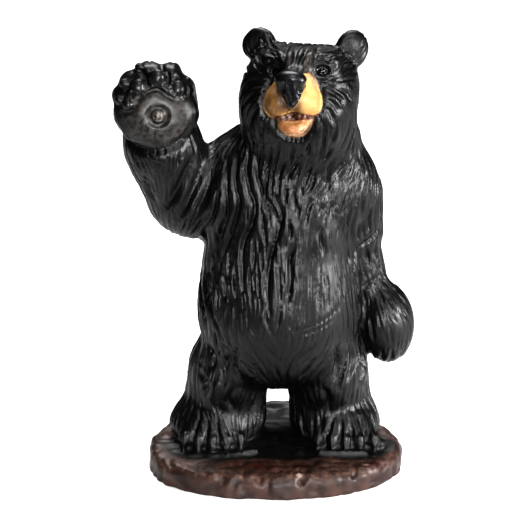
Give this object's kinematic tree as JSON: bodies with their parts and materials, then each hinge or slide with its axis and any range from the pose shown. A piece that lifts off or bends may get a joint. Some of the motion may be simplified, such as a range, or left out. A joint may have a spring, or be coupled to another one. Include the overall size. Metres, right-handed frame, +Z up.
{
  "type": "bear figurine",
  "caption": "Hand-painted resin figurine of a black bear standing upright with one paw raised in a wave, on a low oval mound of earth",
  "frame": {"origin": "middle of the mound's width on its flat underside, below the bear's belly", "axes": "+Z up; the bear faces -Y; +X is the viewer's right, the side of the lowered paw"},
  "size_m": [0.0828, 0.0564, 0.1233],
  "materials": {
    "painted_resin": "satin"
  },
  "bodies": {
    "root": {"bear_figurine": "painted_resin"}
  },
  "joints": []
}
